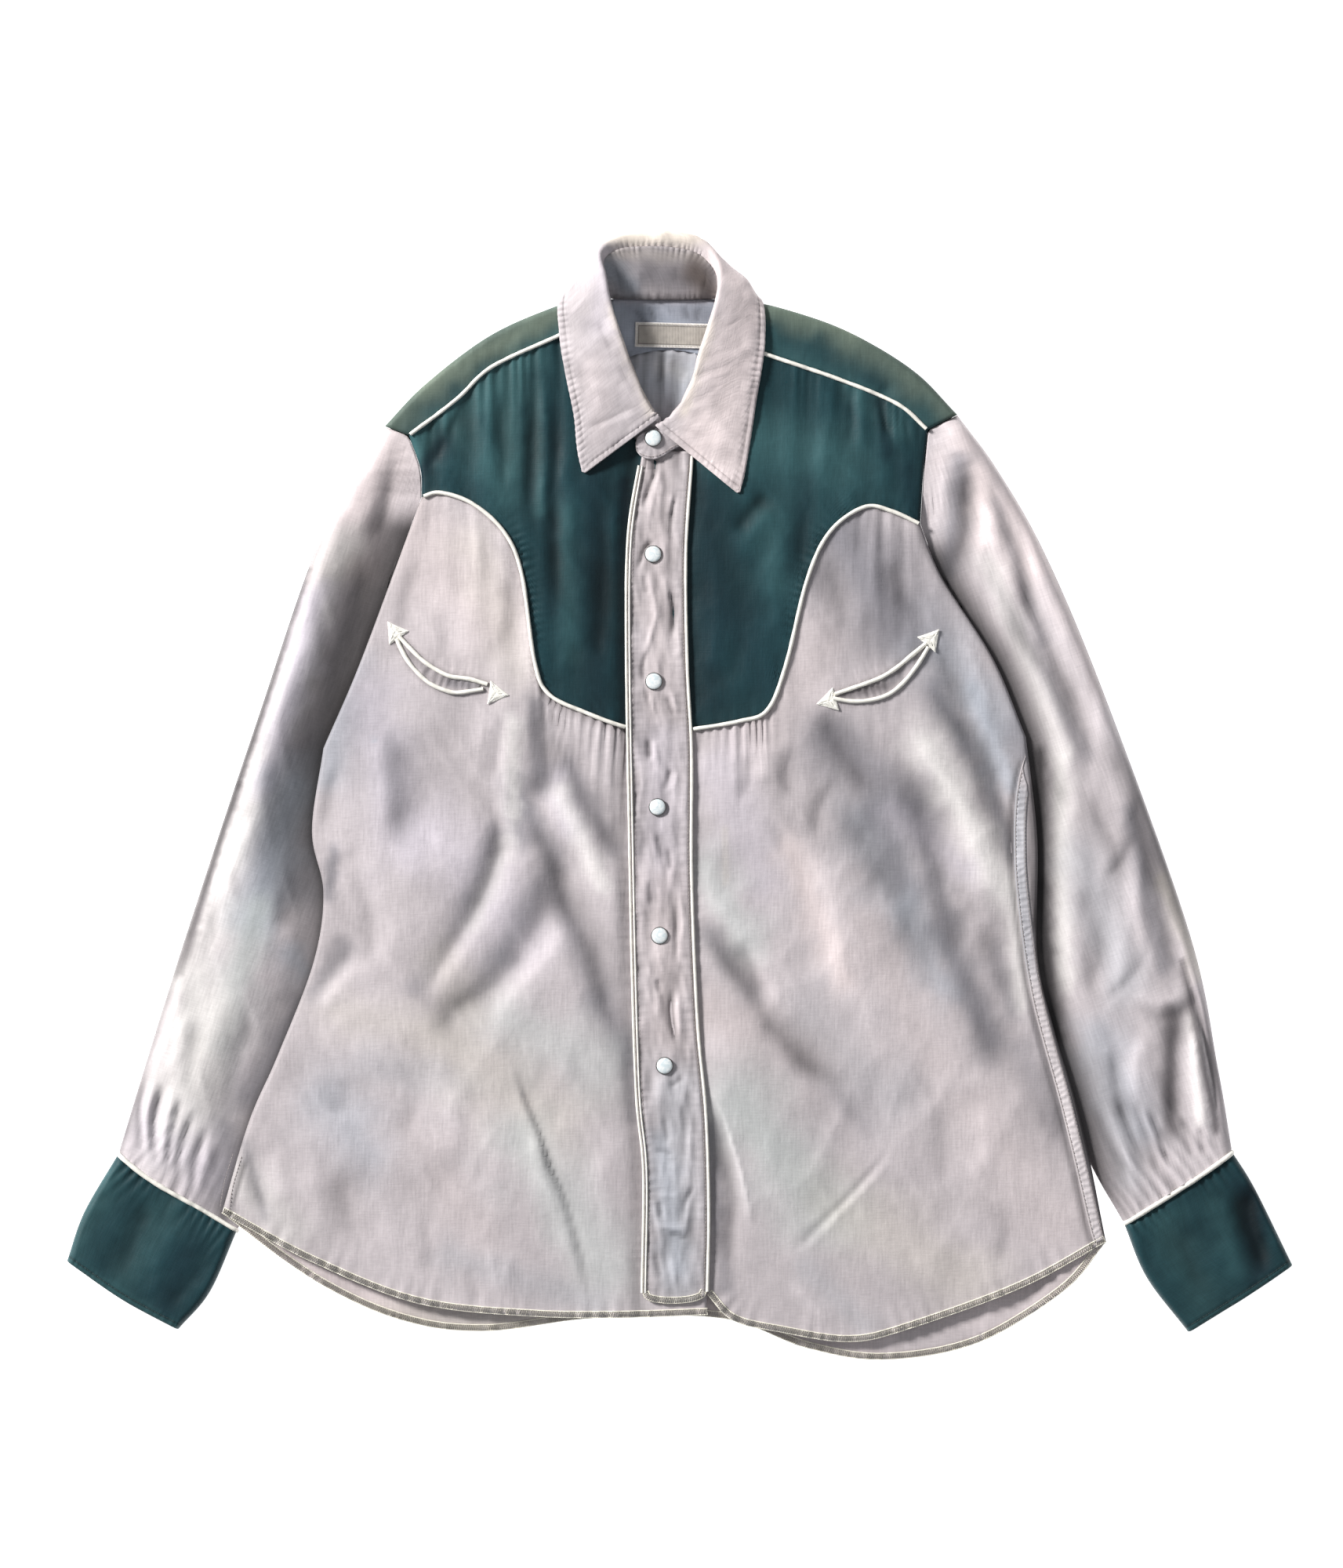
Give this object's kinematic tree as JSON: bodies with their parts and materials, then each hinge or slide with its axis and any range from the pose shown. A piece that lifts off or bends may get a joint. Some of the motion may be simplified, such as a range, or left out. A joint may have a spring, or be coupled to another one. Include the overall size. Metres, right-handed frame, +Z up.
{
  "type": "western shirt",
  "caption": "Long-sleeved western shirt laid flat, in faded mauve gabardine with green yokes and cuffs, cream piping, smile pockets and pearl snaps.",
  "frame": {"origin": "on the surface that the shirt lies on, below the middle of its whole outline", "axes": "+X to the right of the shirt as seen from above, across both cuffs; +Y from the hem towards the collar; +Z up from the surface, out of the front"},
  "size_m": [0.859, 0.7889, 0.0246],
  "materials": {
    "front_cloth": "faded mauve-grey gabardine with a soft sheen",
    "back_cloth": "faded mauve-grey gabardine, less faded inside",
    "sleeve_cloth": "faded mauve and blue-grey gabardine",
    "placket_cloth": "faded gabardine, puckered along its stitching",
    "collar_cloth": "faded beige-pink gabardine, worn at the folds",
    "green_cloth": "dark teal green gabardine, sun-faded along the shoulders",
    "lining_cloth": "blue-grey twill",
    "piping": "cream corded piping",
    "embroidery": "cream rayon thread in satin stitch",
    "label_tape": "bare woven tape",
    "pearl_snap": "pearl face in a thin nickel rim"
  },
  "bodies": {
    "root": {"arrowhead_inner_left": "embroidery", "arrowhead_inner_right": "embroidery", "arrowhead_outer_left": "embroidery", "arrowhead_outer_right": "embroidery", "back": "back_cloth", "back_yoke": "green_cloth", "collar_leaf": "collar_cloth", "collar_stand": "collar_cloth", "cuff_left": "green_cloth", "cuff_piping_left": "piping", "cuff_piping_right": "piping", "cuff_right": "green_cloth", "front_left": "front_cloth", "front_right": "front_cloth", "front_yoke_left": "green_cloth", "front_yoke_right": "green_cloth", "label": "label_tape", "placket": "placket_cloth", "placket_piping_left": "piping", "placket_piping_right": "piping", "pocket_facing_left": "front_cloth", "pocket_facing_right": "front_cloth", "pocket_piping_lower_left": "piping", "pocket_piping_lower_right": "piping", "pocket_piping_upper_left": "piping", "pocket_piping_upper_right": "piping", "shoulder_piping_left": "piping", "shoulder_piping_right": "piping", "sleeve_left": "sleeve_cloth", "sleeve_right": "sleeve_cloth", "snap_1": "pearl_snap", "snap_2": "pearl_snap", "snap_3": "pearl_snap", "snap_4": "pearl_snap", "snap_5": "pearl_snap", "snap_6": "pearl_snap", "yoke_lining": "lining_cloth", "yoke_piping_left": "piping", "yoke_piping_right": "piping"}
  },
  "joints": []
}
